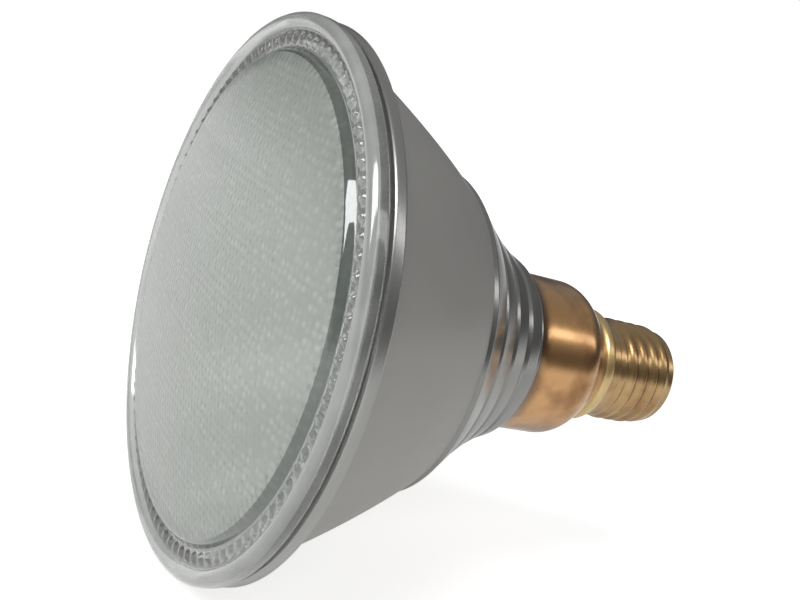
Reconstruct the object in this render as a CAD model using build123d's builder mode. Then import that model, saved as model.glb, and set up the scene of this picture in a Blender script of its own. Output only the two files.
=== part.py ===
"""Parabolic reflector spotlight bulb with a skirted Edison screw cap, in millimetres.

The lamp's axis is Y, with the lens towards -Y and the cap towards +Y, and the origin is the tip of the
centre contact. A place along the axis, a name that ends in _at, is measured from the front edge of the
lens rim towards the cap. A turned piece is drawn as a half section, radius across and place along.
"""

import os
from math import sqrt

from build123d import *

os.makedirs("parts", exist_ok=True)

# Rim and lens
rim_r = 60.5
bead_in = 0.3
flange_thick = 4.0
flange_bevel = 0.8
nose_wide = 3.7
moat_in = 7.5
moat_at = 1.4
step_wide = 1.2
dome_ahead = 5.0
dome_rise = 4.2
lens_wall = 4.0
lip_deep = 1.8
lip_wall = 1.8
lip_clear = 0.4
bump_count = 96
bump_wide = 2.4
bump_long = 2.8
bump_high = 0.8
bump_sink = 0.3
bump_slope = 0.5

# Seal between the two rims
seal_thick = 0.6
seal_in = 0.4
seal_recess = 1.8

# Reflector bowl
rim_flange = 6.0
mirror_deep = 64.0
bowl_wall = 3.2
bead_long = 2.8
bead_fall = 1.2
bead_foot = 0.9
bowl_end_short = 29.3
ring_count = 4
ring_pitch = 6.6
ring_high = 0.8
ring_flat = 0.4
ring_over = 2.0
neck_sweep_out = 2.9
neck_sweep_short = 10.8
well_r = 10.3
well_deep = 8.0
heel_thick = 4.0
neck_wall = 2.6
neck_hang = 6.0

# Burner
filament_long = 8.0
filament_r = 1.1
wire_wide = 0.36
wire_sides = 6
capsule_r = 5.5
capsule_wall = 1.0
nib_r = 1.3
nib_long = 1.5
press_wide = 9.0
press_thick = 3.4
press_long = 5.0
foil_wide = 1.8
foil_long = 3.0
foil_thick = 0.2
pin_apart = 4.4
pin_r = 0.45
pin_short = 0.7
post_r = 0.6
ferrule_apart = 13.0
ferrule_r = 2.3
ferrule_tail = 3.0

# Cap
skirt_gap = 0.2
skirt_r = 19.5
skirt_wall = 0.4
mouth_flare = 0.9
flare_long = 3.0
skirt_straight = 18.5
shoulder_round = 8.0
shoulder_long = 7.9
collar_wide = 1.1
clinch_in = 0.27
clinch_clear = 0.06
shell_wall = 0.35
lip_over = 0.8
clinch_bead_wide = 0.6
clinch_bead_long = 2.8
clinch_bevel = 0.7
land_long = 3.6
land_slope = 0.6
thread_pitch = 3.629
thread_crest_r = 13.17
thread_deep = 0.84
thread_flat = 1.1
thread_valley = 0.4
thread_run = 17.8
thread_sink = 0.2
thread_over = 0.5
shell_end_long = 2.4
shell_end_in = 1.93
insulator_deep = 5.5
insulator_bore_r = 2.0
insulator_rise = 2.5
contact_r = 5.6
contact_thick = 0.6
contact_stem = 5.0
solder_r = 2.4
solder_rise = 0.9
lead_r = 0.5
lead_rise = 4.0
side_solder_long = 0.9
cement_thick = 0.9
cement_short = 1.0

# The mirror is r * r = 4 * focus * (apex - place), and the bowl's outside follows it at the glass's thickness
seam_at = flange_thick
bowl_at = seam_at + seal_thick
mouth_r = rim_r - rim_flange
mirror_apex_at = bowl_at + mirror_deep
mirror_focus = mouth_r**2 / (4 * mirror_deep)
focus_at = mirror_apex_at - mirror_focus
bowl_mouth_r = mouth_r + bowl_wall * sqrt(1 + (2 * mirror_focus / mouth_r) ** 2)
bowl_apex_at = mirror_apex_at + bowl_wall
bowl_focus = bowl_mouth_r**2 / (4 * (bowl_apex_at - bowl_at))
bowl_end_at = bowl_apex_at - bowl_end_short
well_at = mirror_apex_at - well_r**2 / (4 * mirror_focus)
floor_at = well_at + well_deep
heel_at = floor_at + heel_thick
neck_end_at = heel_at + neck_hang
ring_end_at = bowl_end_at + ring_count * ring_pitch

# The cap's places follow from the last ring to the tip, and its radii from the skirt and the thread
skirt_at = ring_end_at + ring_high + skirt_gap
shoulder_at = skirt_at + skirt_straight
skirt_end_at = shoulder_at + shoulder_long
bead_at = skirt_end_at + clinch_clear
land_at = bead_at + clinch_bead_long
thread_at = land_at + land_long
thread_end_at = thread_at + thread_run
shell_end_at = thread_end_at + shell_end_long
contact_at = shell_end_at + insulator_rise
contact_top_at = contact_at + contact_thick
tip_at = contact_top_at + solder_rise
neck_r = skirt_r - skirt_wall - cement_thick
ring_end_r = skirt_r + ring_over
thread_root_r = thread_crest_r - thread_deep
shell_end_r = thread_root_r - shell_end_in
clinch_r = thread_crest_r - clinch_in
collar_r = clinch_r + collar_wide
clinch_bead_r = collar_r + clinch_bead_wide

section = Plane(origin=(0, -tip_at, 0))


def across(place):
    """Plane square to the axis at a place along it, facing the cap."""
    return Plane(origin=(0, place - tip_at, 0), x_dir=(1, 0, 0), z_dir=(0, 1, 0))


def parabola_corner(near, far, focus, apex):
    """Middle control point of the quadratic curve that is the parabola between two radii."""
    middle = (near + far) / 2
    return middle, apex - near * far / (4 * focus)


def parabola_radius(place, focus, apex):
    """Radius of a parabola at a place along the axis."""
    return sqrt(4 * focus * (apex - place))


def rounded(start, end, rise):
    """The three points of an arc from start to end whose crown stands off their middle by the vector rise."""
    return Vector(start), (Vector(start) + Vector(end)) / 2 + Vector(rise), Vector(end)


# Lens: low dome, step down to a moat with a ring of studs, rim, flat back face and a lip that centres it
moat_r = rim_r - moat_in
dome_r = moat_r - step_wide
lip_r = parabola_radius(seam_at + lip_deep, mirror_focus, mirror_apex_at) - lip_clear
lip_in_r = lip_r - lip_wall
dome_sphere = (dome_r**2 + dome_rise**2) / (2 * dome_rise)
dome_centre_at = dome_sphere - dome_ahead


def dome_at(radius, sphere):
    """Place along the axis of a point of one of the lens's two spherical faces."""
    return dome_centre_at - sqrt(sphere**2 - radius**2)


inner_sphere = dome_sphere - lens_wall
nose_in_r = rim_r - nose_wide
bump_ring_r = (moat_r + nose_in_r) / 2

with BuildPart() as lens:
    with BuildSketch(section):
        with BuildLine():
            front = ThreePointArc(
                (0, dome_at(0, dome_sphere)),
                (dome_r / 2, dome_at(dome_r / 2, dome_sphere)),
                (dome_r, dome_at(dome_r, dome_sphere)),
            )
            flange = Polyline(front @ 1, (moat_r, moat_at), (nose_in_r, moat_at))
            nose = ThreePointArc(*rounded(flange @ 1, (rim_r, moat_at), (0, -moat_at)))
            back = Polyline(
                nose @ 1,
                (rim_r, seam_at - flange_bevel),
                (rim_r - flange_bevel, seam_at),
                (lip_r, seam_at),
                (lip_r, seam_at + lip_deep),
                (lip_in_r, seam_at + lip_deep),
                (lip_in_r, dome_at(lip_in_r, inner_sphere)),
            )
            inside = ThreePointArc(
                back @ 1,
                (lip_in_r / 2, dome_at(lip_in_r / 2, inner_sphere)),
                (0, dome_at(0, inner_sphere)),
            )
            Line(inside @ 1, front @ 0)
        make_face()
    revolve(axis=Axis.Y)
    with Locations(across(moat_at + bump_sink)):
        with PolarLocations(bump_ring_r, bump_count):
            Wedge(
                bump_long,
                bump_high + bump_sink,
                bump_wide,
                bump_slope,
                bump_slope,
                bump_long - bump_slope,
                bump_wide - bump_slope,
                rotation=(-90, 0, 0),
                align=(Align.CENTER, Align.MIN, Align.CENTER),
            )
lens.part.label = "lens"
export_step(lens.part, "parts/lens.step")

# Seal: flat ring of cement between the lens's back face and the bowl's rim
with BuildPart() as rim_seal:
    with BuildSketch(across(seam_at)):
        Circle(rim_r - seal_recess)
        Circle(mouth_r + seal_in, mode=Mode.SUBTRACT)
    extrude(amount=seal_thick)
rim_seal.part.label = "rim_seal"
export_step(rim_seal.part, "parts/rim_seal.step")

# Reflector: exact paraboloid inside and out, rim bead, ring ridges down the neck, heel with a well and two holes
bead_r = rim_r - bead_in
bead_back_at = bowl_at + bead_long
bowl_start_at = bead_back_at + bead_foot
bowl_start_r = parabola_radius(bowl_start_at, bowl_focus, bowl_apex_at)
bowl_end_r = parabola_radius(bowl_end_at, bowl_focus, bowl_apex_at)
neck_sweep = (
    Vector(bowl_end_r, bowl_end_at),
    Vector(ring_end_r + neck_sweep_out, ring_end_at - neck_sweep_short),
    Vector(ring_end_r, ring_end_at),
)


def neck_valley(share):
    """Point of the curve that the neck's ring valleys lie on, at a share of its run."""
    start, middle, end = neck_sweep
    return start * (1 - share) ** 2 + middle * (2 * share * (1 - share)) + end * share**2


with BuildPart() as reflector:
    with BuildSketch(section):
        with BuildLine():
            face = Line((mouth_r, bowl_at), (bead_r - bead_fall, bowl_at))
            bead = ThreePointArc(*rounded(face @ 1, (bead_r - bead_fall, bead_back_at), (bead_fall, 0)))
            foot = Line(bead @ 1, (bowl_start_r, bowl_start_at))
            bowl = Bezier(
                foot @ 1,
                parabola_corner(bowl_start_r, bowl_end_r, bowl_focus, bowl_apex_at),
                (bowl_end_r, bowl_end_at),
            )
            last = bowl @ 1
            for i in range(ring_count):
                valley = neck_valley((i + 1) / ring_count)
                run = valley - last
                flank = run * (1 - ring_flat) / 2
                ring_out = Vector(run.Y, -run.X).normalized() * ring_high
                ring = Polyline(last, last + flank + ring_out, valley - flank + ring_out, valley)
                last = ring @ 1
            neck = Polyline(
                last,
                (ring_end_r, ring_end_at + ring_high),
                (neck_r, ring_end_at + ring_high),
                (neck_r, neck_end_at),
                (neck_r - neck_wall, neck_end_at),
                (neck_r - neck_wall, heel_at),
                (0, heel_at),
                (0, floor_at),
                (well_r, floor_at),
                (well_r, well_at),
            )
            Bezier(neck @ 1, parabola_corner(well_r, mouth_r, mirror_focus, mirror_apex_at), face @ 0)
        make_face()
    revolve(axis=Axis.Y)
    with BuildSketch(across(floor_at)):
        with GridLocations(ferrule_apart, 0, 2, 1):
            Circle(ferrule_r)
    extrude(amount=heel_thick, mode=Mode.SUBTRACT)
reflector.part.label = "reflector"
export_step(reflector.part, "parts/reflector.step")

# Burner: filament centred on the mirror's focus, in a capsule that stands on two wires over the well
coil_at = focus_at - filament_long / 2
coil_end_at = focus_at + filament_long / 2
chamber_at = coil_at - capsule_r
press_at = coil_end_at + capsule_wall
foil_at = press_at + (press_long - foil_long) / 2
foil_end_at = foil_at + foil_long
press_end_at = press_at + press_long
pin_end_at = floor_at - pin_short
head_at = chamber_at - capsule_r
chamber_r = capsule_r - capsule_wall

# Filament: tungsten coiled coil, its fine turns drawn as their outer cylinder, with a leg from each end to a foil
with BuildPart() as filament:
    with BuildSketch(across(coil_at)):
        Circle(filament_r)
    extrude(amount=filament_long)
    for side, start_at in ((1, coil_at), (-1, coil_end_at - wire_wide)):
        with BuildSketch(across(start_at)):
            with Locations((side * pin_apart / 4, 0)):
                Rectangle(pin_apart / 2 + wire_wide, wire_wide)
        extrude(amount=wire_wide)
        with BuildSketch(across(start_at)):
            with Locations((side * pin_apart / 2, 0)):
                Rectangle(wire_wide, wire_wide)
        extrude(amount=foil_at - start_at)
filament.part.label = "filament"
export_step(filament.part, "parts/filament.step")

# Foils: thin molybdenum strips that carry the current through the press
with BuildPart() as press_foils:
    with BuildSketch(across(foil_at)):
        with GridLocations(pin_apart, 0, 2, 1):
            Rectangle(foil_wide, foil_thick)
    extrude(amount=foil_long)
press_foils.part.label = "press_foils"
export_step(press_foils.part, "parts/press_foils.step")

# Pins: two wires from the foils out of the press
with BuildPart() as capsule_pins:
    with BuildSketch(across(foil_end_at)):
        with GridLocations(pin_apart, 0, 2, 1):
            RegularPolygon(pin_r, wire_sides)
    extrude(amount=pin_end_at - foil_end_at)
capsule_pins.part.label = "capsule_pins"
export_step(capsule_pins.part, "parts/capsule_pins.step")

# Capsule: quartz tube with a drawn-out head, closed by a flat press over the foils
with BuildPart() as capsule:
    with BuildSketch(section):
        with BuildLine():
            Polyline(
                (0, head_at - nib_long),
                (nib_r, head_at - nib_long),
                (nib_r, head_at),
                (capsule_r, chamber_at),
                (capsule_r, press_at + capsule_wall),
                (0, press_at + capsule_wall),
                close=True,
            )
        make_face()
    revolve(axis=Axis.Y)
    with BuildSketch(across(press_at)):
        Rectangle(press_wide, press_thick)
    extrude(amount=press_long)
    with BuildSketch(section):
        with BuildLine():
            Polyline(
                (0, chamber_at - chamber_r),
                (chamber_r, chamber_at),
                (chamber_r, press_at),
                (0, press_at),
                close=True,
            )
        make_face()
    revolve(axis=Axis.Y, mode=Mode.SUBTRACT)
    for sealed in (filament, press_foils, capsule_pins):
        add(sealed.part, mode=Mode.SUBTRACT)
capsule.part.label = "capsule"
export_step(capsule.part, "parts/capsule.step")

# Posts: bent wires that stand in the ferrules and hold the pins
ferrule_x = ferrule_apart / 2
weld_at = (press_end_at + pin_end_at) / 2

with BuildPart() as support_posts:
    for side in (1, -1):
        with BuildLine(section):
            post = Polyline(
                (side * ferrule_x, floor_at),
                (side * ferrule_x, weld_at),
                (side * pin_apart / 2, weld_at),
            )
        with BuildSketch(Plane(origin=post @ 0, z_dir=post % 0)):
            RegularPolygon(post_r, wire_sides)
        sweep(path=post, transition=Transition.RIGHT)
    add(capsule_pins.part, mode=Mode.SUBTRACT)
support_posts.part.label = "support_posts"
export_step(support_posts.part, "parts/support_posts.step")

# Ferrules: metal studs sealed through the heel, with a post welded on the front and a lead on the tail
tail_at = heel_at + ferrule_tail

with BuildPart() as ferrules:
    with BuildSketch(across(floor_at)):
        with GridLocations(ferrule_apart, 0, 2, 1):
            Circle(ferrule_r)
    extrude(amount=tail_at - floor_at)
ferrules.part.label = "ferrules"
export_step(ferrules.part, "parts/ferrules.step")

# Skirt: drawn brass cup with a flared mouth, rounded shoulder and a flange that the shell clinches
with BuildPart() as cap_skirt:
    with BuildSketch(section):
        with BuildLine():
            FilletPolyline(
                (skirt_r + mouth_flare, skirt_at),
                (skirt_r, skirt_at + flare_long),
                (skirt_r, shoulder_at),
                (collar_r, skirt_end_at),
                (clinch_r, skirt_end_at),
                radius=(0, shoulder_round, 0),
            )
            offset(amount=skirt_wall, side=Side.LEFT, kind=Kind.INTERSECTION)
        make_face()
    revolve(axis=Axis.Y)
cap_skirt.part.label = "cap_skirt"
export_step(cap_skirt.part, "parts/cap_skirt.step")

# Cement: ring that fixes the skirt on the glass neck
with BuildPart() as cap_cement:
    with BuildSketch(across(skirt_at + flare_long + cement_short)):
        Circle(skirt_r - skirt_wall)
        Circle(neck_r, mode=Mode.SUBTRACT)
    extrude(amount=neck_end_at - skirt_at - flare_long - 2 * cement_short)
cap_cement.part.label = "cap_cement"
export_step(cap_cement.part, "parts/cap_cement.step")

# Thread: one ridge along a helix, run out at both ends by an envelope whose tapers cross the crest
with BuildPart() as thread_envelope:
    with BuildSketch(section):
        with BuildLine():
            Polyline(
                (shell_end_r, thread_at),
                (thread_root_r - shell_wall, thread_at),
                (thread_crest_r + thread_over, thread_at + thread_pitch / 2),
                (thread_crest_r + thread_over, thread_end_at - thread_pitch / 2),
                (thread_root_r - shell_wall, thread_end_at),
                (shell_end_r, thread_end_at),
                close=True,
            )
        make_face()
    revolve(axis=Axis.Y)

thread_foot_r = thread_root_r - thread_sink
thread_foot = thread_pitch - thread_valley
with BuildPart() as thread_ridge:
    with BuildLine():
        winding = Helix(
            thread_pitch,
            thread_run,
            thread_foot_r,
            center=(0, thread_at - tip_at, 0),
            direction=(0, 1, 0),
        )
    outward = winding @ 0 - Vector(0, thread_at - tip_at, 0)
    with BuildSketch(Plane(origin=winding @ 0, x_dir=outward, z_dir=winding % 0)):
        with BuildLine():
            Polyline(
                (0, -thread_foot / 2),
                (thread_crest_r - thread_foot_r, -thread_flat / 2),
                (thread_crest_r - thread_foot_r, thread_flat / 2),
                (0, thread_foot / 2),
                close=True,
            )
        make_face()
    sweep(path=winding, is_frenet=True)
    add(thread_envelope.part, mode=Mode.INTERSECT)

# Shell: rolled brass sheet, folded over the skirt's flange, beaded, threaded and closed in at the end
tube_r = clinch_r - clinch_clear
lip_at = skirt_end_at - skirt_wall - clinch_clear

with BuildPart() as screw_shell:
    with BuildSketch(section):
        with BuildLine():
            Polyline(
                (clinch_r + lip_over, lip_at),
                (tube_r, lip_at),
                (tube_r, bead_at),
                (clinch_bead_r - clinch_bevel, bead_at),
                (clinch_bead_r, bead_at + clinch_bevel),
                (clinch_bead_r, land_at - clinch_bevel),
                (clinch_bead_r - clinch_bevel, land_at),
                (tube_r, land_at),
                (tube_r, thread_at - land_slope),
                (thread_root_r, thread_at),
                (thread_root_r, thread_end_at),
                (shell_end_r, shell_end_at),
            )
            offset(amount=shell_wall, side=Side.LEFT, kind=Kind.INTERSECTION)
        make_face()
    revolve(axis=Axis.Y)
    add(thread_ridge.part)
screw_shell.part.label = "screw_shell"
export_step(screw_shell.part, "parts/screw_shell.step")

# Insulator: black glass moulded into the end of the shell, coned out to the contact
wall_middle = shell_wall / 2
with BuildPart() as cap_insulator:
    with BuildSketch(section):
        with BuildLine():
            Polyline(
                (insulator_bore_r, thread_end_at - insulator_deep),
                (thread_root_r - wall_middle, thread_end_at - insulator_deep),
                (thread_root_r - wall_middle, thread_end_at),
                (shell_end_r - wall_middle, shell_end_at),
                (contact_r, contact_at),
                (insulator_bore_r, contact_at),
                close=True,
            )
        make_face()
    revolve(axis=Axis.Y)
    add(screw_shell.part, mode=Mode.SUBTRACT)
cap_insulator.part.label = "cap_insulator"
export_step(cap_insulator.part, "parts/cap_insulator.step")

# Contact: brass eyelet, a disc with a hollow stem down the insulator's bore
with BuildPart() as centre_contact:
    with BuildSketch(across(contact_at)):
        Circle(contact_r)
        Circle(lead_r, mode=Mode.SUBTRACT)
    extrude(amount=contact_thick)
    with BuildSketch(across(contact_at - contact_stem)):
        Circle(insulator_bore_r)
        Circle(lead_r, mode=Mode.SUBTRACT)
    extrude(amount=contact_stem)
centre_contact.part.label = "centre_contact"
export_step(centre_contact.part, "parts/centre_contact.step")

# Leads: wires from the ferrules' tails, one up the axis to the contact, one out to the shell's land
land_in_r = tube_r - shell_wall
side_end_at = land_at + side_solder_long
side_x = land_in_r - lead_r

with BuildPart() as centre_lead:
    with BuildLine(section):
        route = Polyline(
            (ferrule_x, tail_at),
            (ferrule_x, tail_at + lead_rise),
            (0, skirt_end_at),
            (0, contact_top_at),
        )
    with BuildSketch(Plane(origin=route @ 0, z_dir=route % 0)):
        RegularPolygon(lead_r, wire_sides)
    sweep(path=route, transition=Transition.RIGHT)
centre_lead.part.label = "centre_lead"
export_step(centre_lead.part, "parts/centre_lead.step")

with BuildPart() as side_lead:
    with BuildLine(section):
        route = Polyline(
            (-ferrule_x, tail_at),
            (-ferrule_x, tail_at + lead_rise),
            (-side_x, lip_at),
            (-side_x, side_end_at),
        )
    with BuildSketch(Plane(origin=route @ 0, z_dir=route % 0)):
        RegularPolygon(lead_r, wire_sides)
    sweep(path=route, transition=Transition.RIGHT)
side_lead.part.label = "side_lead"
export_step(side_lead.part, "parts/side_lead.step")

# Solder: a drop over the contact's eye and a spot that joins the side lead to the shell
with BuildPart() as contact_solder:
    with BuildSketch(section):
        with BuildLine():
            Polyline(
                (0, tip_at),
                (solder_r / 2, tip_at),
                (solder_r, contact_top_at),
                (0, contact_top_at),
                close=True,
            )
        make_face()
    revolve(axis=Axis.Y)
contact_solder.part.label = "contact_solder"
export_step(contact_solder.part, "parts/contact_solder.step")

with BuildPart() as side_solder:
    with BuildSketch(across(land_at)):
        with Locations((-side_x, 0)):
            Rectangle(2 * side_solder_long, 2 * side_solder_long)
        Circle(land_in_r, mode=Mode.INTERSECT)
    extrude(amount=side_solder_long)
    add(side_lead.part, mode=Mode.SUBTRACT)
side_solder.part.label = "side_solder"
export_step(side_solder.part, "parts/side_solder.step")
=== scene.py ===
"""Visual pieces, finishes, stage and camera for a parabolic spotlight bulb with an Edison screw cap.

The lamp's axis is Y, with the lens towards -Y and the cap towards +Y, and the origin is the tip of the centre
contact. Lengths are in metres. A place along the axis is measured from the front edge of the lens rim.
"""

from itertools import repeat
from math import asin, atan2, cos, pi, radians, sin, sqrt, tan
from typing import NamedTuple

import bmesh
import bpy
from bpy.props import FloatProperty, FloatVectorProperty, IntProperty, PointerProperty
from mathutils import Matrix, Vector
from mathutils.geometry import delaunay_2d_cdt


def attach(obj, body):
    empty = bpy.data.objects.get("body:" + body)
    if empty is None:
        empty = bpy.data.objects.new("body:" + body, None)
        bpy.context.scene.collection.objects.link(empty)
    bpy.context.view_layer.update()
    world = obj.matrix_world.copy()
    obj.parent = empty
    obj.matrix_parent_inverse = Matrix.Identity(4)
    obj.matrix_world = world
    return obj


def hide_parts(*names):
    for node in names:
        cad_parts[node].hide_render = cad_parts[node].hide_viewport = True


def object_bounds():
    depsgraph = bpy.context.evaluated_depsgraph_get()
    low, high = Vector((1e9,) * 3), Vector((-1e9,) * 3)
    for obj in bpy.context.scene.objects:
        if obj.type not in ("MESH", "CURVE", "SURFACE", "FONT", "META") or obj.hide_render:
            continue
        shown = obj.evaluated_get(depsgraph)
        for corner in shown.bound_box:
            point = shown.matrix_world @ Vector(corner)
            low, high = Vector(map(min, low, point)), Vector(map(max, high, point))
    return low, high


bl_info = {
    "name": "Reflector Spotlight Bulb",
    "version": (1, 0, 0),
    "blender": (4, 5, 0),
    "location": "3D View > Sidebar > Spotlight",
    "description": "Builds the glass, brass and stage of a reflector spotlight bulb over its solid model",
    "category": "Object",
}

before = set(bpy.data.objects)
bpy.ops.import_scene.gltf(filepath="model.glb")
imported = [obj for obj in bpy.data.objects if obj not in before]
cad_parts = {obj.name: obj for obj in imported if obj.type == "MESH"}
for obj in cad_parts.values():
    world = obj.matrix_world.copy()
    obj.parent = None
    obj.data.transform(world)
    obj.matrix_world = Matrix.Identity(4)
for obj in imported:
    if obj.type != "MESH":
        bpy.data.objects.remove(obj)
cad_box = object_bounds()
mm = 0.001

# Distance from the front edge of the lens rim to the tip of the centre contact
TIP = 126.96 * mm

# Points closer than this are one point
SMALL = 1e-7

# How far the roundings of an outline's corners reach along the sides, corner by corner
DOME_EASES = (4.5 * mm, 0.5 * mm)
BEAD_EASES = (1.1 * mm, 0.6 * mm)
RING_EASES = (0.3 * mm, 1.0 * mm)
SKIRT_EASES = (1.2 * mm, 2.5 * mm, 0.5 * mm)
SKIRT_INNER_EASES = (0.4 * mm, 2.3 * mm, 1.2 * mm)
SHELL_EASES = (0.4 * mm, 0.3 * mm)
SHELL_END_EASE = 2.0 * mm
WELL_EASE = 0.8 * mm
FOOT_EASE = 0.35 * mm
CORNER_EASE = 0.3 * mm

# The most of a side that one corner's rounding may take
EASE_SHARE = 0.48

# Rows along the turned outlines, and their steps round the axis, which the lens counts by the stud
DOME_ROWS = 16
FLAT_ROWS = 12
BOWL_ROWS = 40
THREAD_ROWS = 96
STUD_STEPS = 8
BOWL_STEPS = 256
SKIRT_STEPS = 192
SHELL_STEPS = 160

# First and last point of the dome's rounded step that take the dark-tinted glass, a painted shade
STEP_FIRST = 5
STEP_LAST = 12

# Mesh points across one bump of the stipple, and the name of the mark on points that bumps lift
BUMP_POINTS = 3
STIPPLE = "stipple"

# Share of a stud's half length where its top ends, and the level of a wave round the ring at its flanks
STUD_TOP = 0.35
STUD_FLANK = 0.6

# Edges that turn by more than this show sharp
SHARP = radians(38)

# Width of the camera's sensor in mm, and the picture's width and height in pixels
SENSOR = 36
PICTURE = (800, 600)

# Glow of the floor by the lamp and far from it, as mirrors and then the camera see it, and where it changes;
# the lower glow that mirrors see by the lamp is painted shade under it
FLOOR_NEAR_SHADE = (0.22, 0.65)
FLOOR_FAR = (0.55, 1.0)
FLOOR_FADE = (0.2, 0.8)

# Grey of the studio's walls at shares of their height
WALL_SHADES = ((0.0, 1.0), (0.17, 0.1), (0.5, 0.13), (1.0, 0.34))

# Point that the softboxes face
AIM = Vector((0, -70 * mm, 0))

WHITE = (1.0, 1.0, 1.0)


class Softbox(NamedTuple):
    """A long studio light: the way to it, the way of its long side, and its distance, size and power."""

    name: str
    toward: tuple
    along: tuple
    distance: float
    size: tuple
    power: float


SOFTBOXES = (
    Softbox("front_softbox", (0.25, -0.7, 0.66), (0.54, 0.77, 0.61), 0.75, (0.7, 0.22), 4.4),
    Softbox("side_softbox", (0.58, 0.41, 0.7), (0.5, -0.74, 0.48), 1.1, (1.6, 0.2), 2.1),
)


def hex_color(code):
    """Linear colour of an sRGB hex value."""
    channels = [int(code[i : i + 2], 16) / 255 for i in (0, 2, 4)]
    return tuple(c / 12.92 if c <= 0.04045 else ((c + 0.055) / 1.055) ** 2.4 for c in channels)


def dimmed(color, share):
    """A share of a colour."""
    return tuple(share * c for c in color)


def length(name, value, description):
    """A length in millimetres as a property in metres."""
    return FloatProperty(name=name, description=description, default=value * mm, unit="LENGTH", precision=5)


def tint(name, code, description):
    """A colour property with an sRGB hex default."""
    return FloatVectorProperty(
        name=name, description=description, default=hex_color(code), subtype="COLOR", size=3, min=0.0, max=1.0
    )


def turn(name, value, description):
    """An angle in degrees as a property in radians."""
    return FloatProperty(name=name, description=description, default=radians(value), subtype="ANGLE")


def number(name, value, description):
    """A plain number as a property."""
    return FloatProperty(name=name, description=description, default=value)


class LensSizes(bpy.types.PropertyGroup):
    """Sizes of the pressed glass lens."""

    radius: length("Radius", 60.5, "Radius of the lens's edge")
    dome_radius: length("Dome radius", 51.8, "Radius of the dome where it steps down")
    dome_ahead: length("Dome ahead", 5.0, "How far the crown stands ahead of the rim's front edge")
    dome_rise: length("Dome rise", 4.2, "Height of the dome over its own edge")
    dome_band: length("Dome band", 6.6, "Width of the band at the dome's edge that holds its rounding")
    wall: length("Wall", 4.0, "Thickness of the dome")
    moat_radius: length("Moat radius", 53.0, "Inner radius of the flat ring round the dome")
    moat_place: length("Moat place", 1.4, "Place of the flat ring behind the rim's front edge")
    nose_width: length("Nose width", 3.7, "Width of the rounded rim")
    flange: length("Flange", 4.0, "Thickness of the rim")
    bevel: length("Bevel", 0.8, "Bevel at the rim's back edge")
    lip_depth: length("Lip depth", 1.8, "Depth of the lip that centres the lens in the bowl")
    lip_wall: length("Lip wall", 1.8, "Thickness of that lip")
    lip_clear: length("Lip clearance", 0.4, "Gap between the lip and the bowl")
    stud_count: IntProperty(name="Studs", description="Studs in the ring round the dome", default=96, min=3)
    stud_length: length("Stud length", 3.1, "Length of a stud across the ring")
    stud_height: length("Stud height", 0.8, "Height of a stud over the ring")
    stud_reach: length("Stud reach", 0.2, "How far behind the flat ring points still rise with the studs")
    stipple_pitch: length("Stipple pitch", 1.9, "Distance between the bumps of the lens's inner face")
    stipple_height: length("Stipple height", 0.22, "Height of those bumps")
    stipple_patch: length("Stipple patch", 3.5, "Size of the patches in which bumps stray together")
    stipple_stray: length("Stipple stray", 1.2, "How far bumps stray")


class BowlSizes(bpy.types.PropertyGroup):
    """Sizes of the pressed glass reflector bowl."""

    radius: length("Radius", 60.2, "Radius over the rim's bead")
    front: length("Front", 4.6, "Place of the bowl's front face")
    mouth: length("Mouth", 54.5, "Radius of the mirror's mouth")
    mirror_depth: length("Mirror depth", 64.0, "Depth of the mirror from its mouth to its apex")
    wall: length("Wall", 3.2, "Thickness of the glass")
    bead_length: length("Bead length", 2.8, "Length of the rim's bead")
    bead_fall: length("Bead fall", 1.2, "How far the bead's ends lie inside its crown")
    bead_shoulder: length("Bead shoulder", 0.2, "Length over which the bead falls to its ends")
    bead_foot: length("Bead foot", 0.9, "Length of the step from the bead to the bowl")
    bowl_end: length("Bowl end", 42.5, "Place where the rings begin")
    ring_count: IntProperty(name="Rings", description="Rings pressed round the neck", default=4, min=1)
    ring_pitch: length("Ring pitch", 6.6, "Distance between rings")
    ring_height: length("Ring height", 0.8, "Height of a ring")
    ring_end_radius: length("Ring end radius", 21.5, "Radius at the end of the last ring")
    sweep_radius: length("Sweep radius", 24.4, "Radius of the control point of the neck's curve")
    sweep_place: length("Sweep place", 58.1, "Place of that control point")
    well_radius: length("Well radius", 10.3, "Radius of the well behind the mirror's apex")
    well_depth: length("Well depth", 8.0, "Depth of the well")
    heel: length("Heel", 4.0, "Thickness of the glass behind the well")
    neck_radius: length("Neck radius", 18.2, "Radius of the neck inside the cap")
    neck_wall: length("Neck wall", 2.6, "Thickness of the neck")
    neck_hang: length("Neck hang", 6.0, "Length of the neck behind the heel")


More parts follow.
